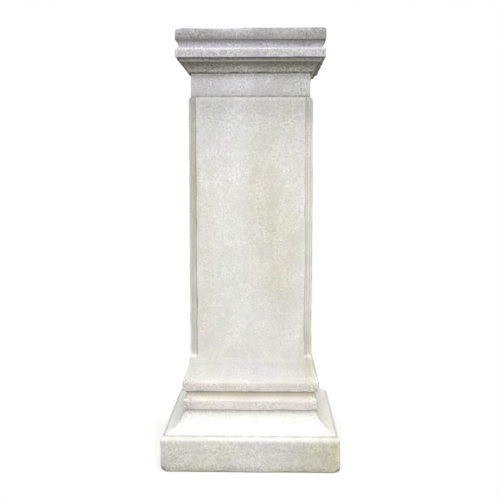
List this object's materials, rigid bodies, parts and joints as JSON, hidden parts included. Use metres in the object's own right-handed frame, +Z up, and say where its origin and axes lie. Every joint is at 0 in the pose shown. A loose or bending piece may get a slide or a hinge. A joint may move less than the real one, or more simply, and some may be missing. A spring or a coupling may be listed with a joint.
{
  "type": "column pedestal",
  "caption": "Square cast-stone column pedestal with a moulded base on a plinth, a panelled die and a moulded cap, which carries a column, an urn or a statue on its flat top.",
  "frame": {"origin": "centre of the underside of the plinth", "axes": "+Z up, the pedestal's axis; -Y is the side that faces the viewer in the picture, and all four sides are alike"},
  "size_m": [0.4, 0.4, 0.975],
  "materials": {
    "cast_stone": "matt weathered cast stone, fine sandy grain"
  },
  "bodies": {
    "root": {"pedestal": "cast_stone"}
  },
  "joints": []
}
